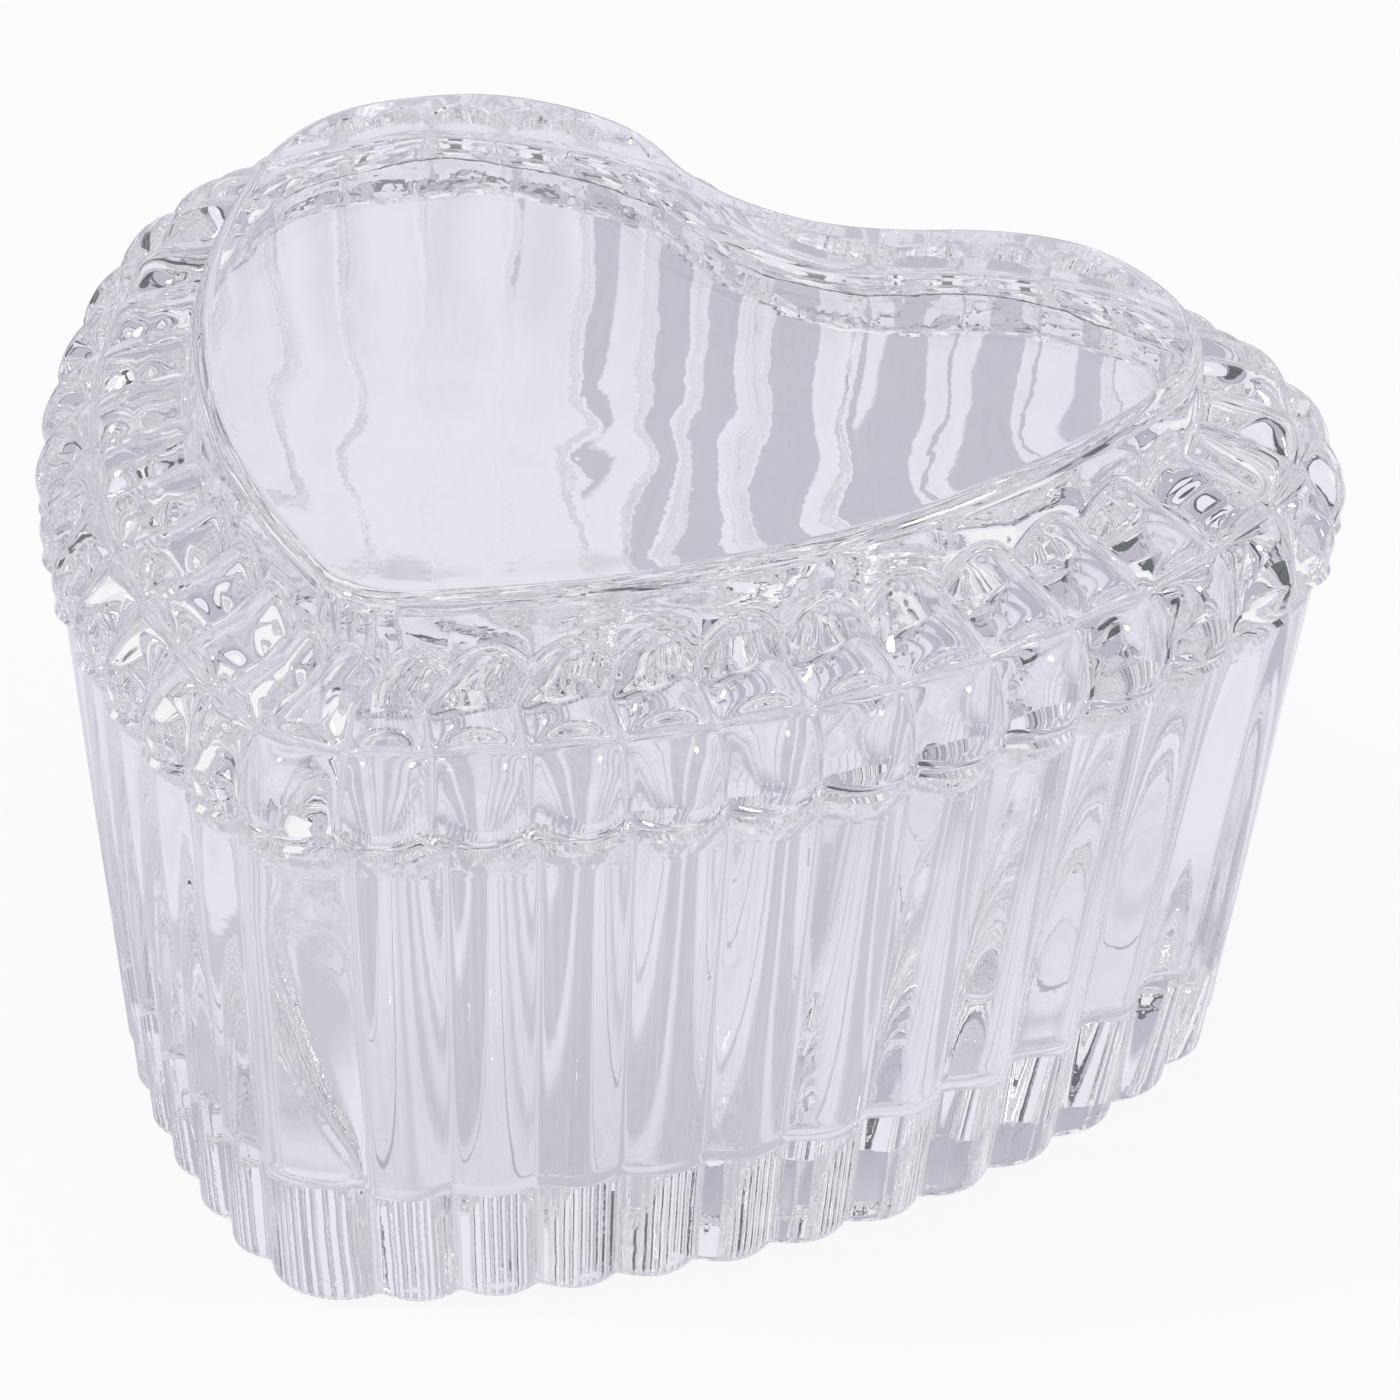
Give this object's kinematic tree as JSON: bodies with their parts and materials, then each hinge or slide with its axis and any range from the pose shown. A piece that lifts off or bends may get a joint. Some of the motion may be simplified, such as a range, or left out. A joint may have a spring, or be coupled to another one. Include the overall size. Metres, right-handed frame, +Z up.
{
  "type": "heart-shaped glass trinket box",
  "caption": "Clear pressed-glass heart-shaped trinket box: ribbed thick-floored base with a lift-off gadrooned lid that has a raised flat top.",
  "frame": {"origin": "centre of the box's outline on the face that it rests on", "axes": "+Z up, the way the lid lifts; the heart's tip points to -Y and its lobes to +Y"},
  "size_m": [0.1096, 0.1105, 0.0643],
  "materials": {
    "base_glass": "clear fire-polished pressed glass",
    "lid_glass": "clear fire-polished pressed glass"
  },
  "bodies": {
    "base": {"glass_base": "base_glass"},
    "lid": {"glass_lid": "lid_glass"}
  },
  "joints": [
    {"name": "lid_lift", "type": "slide", "parent": "base", "child": "lid", "axis": [0, 0, 1], "range_m": [0, 0.06]}
  ]
}
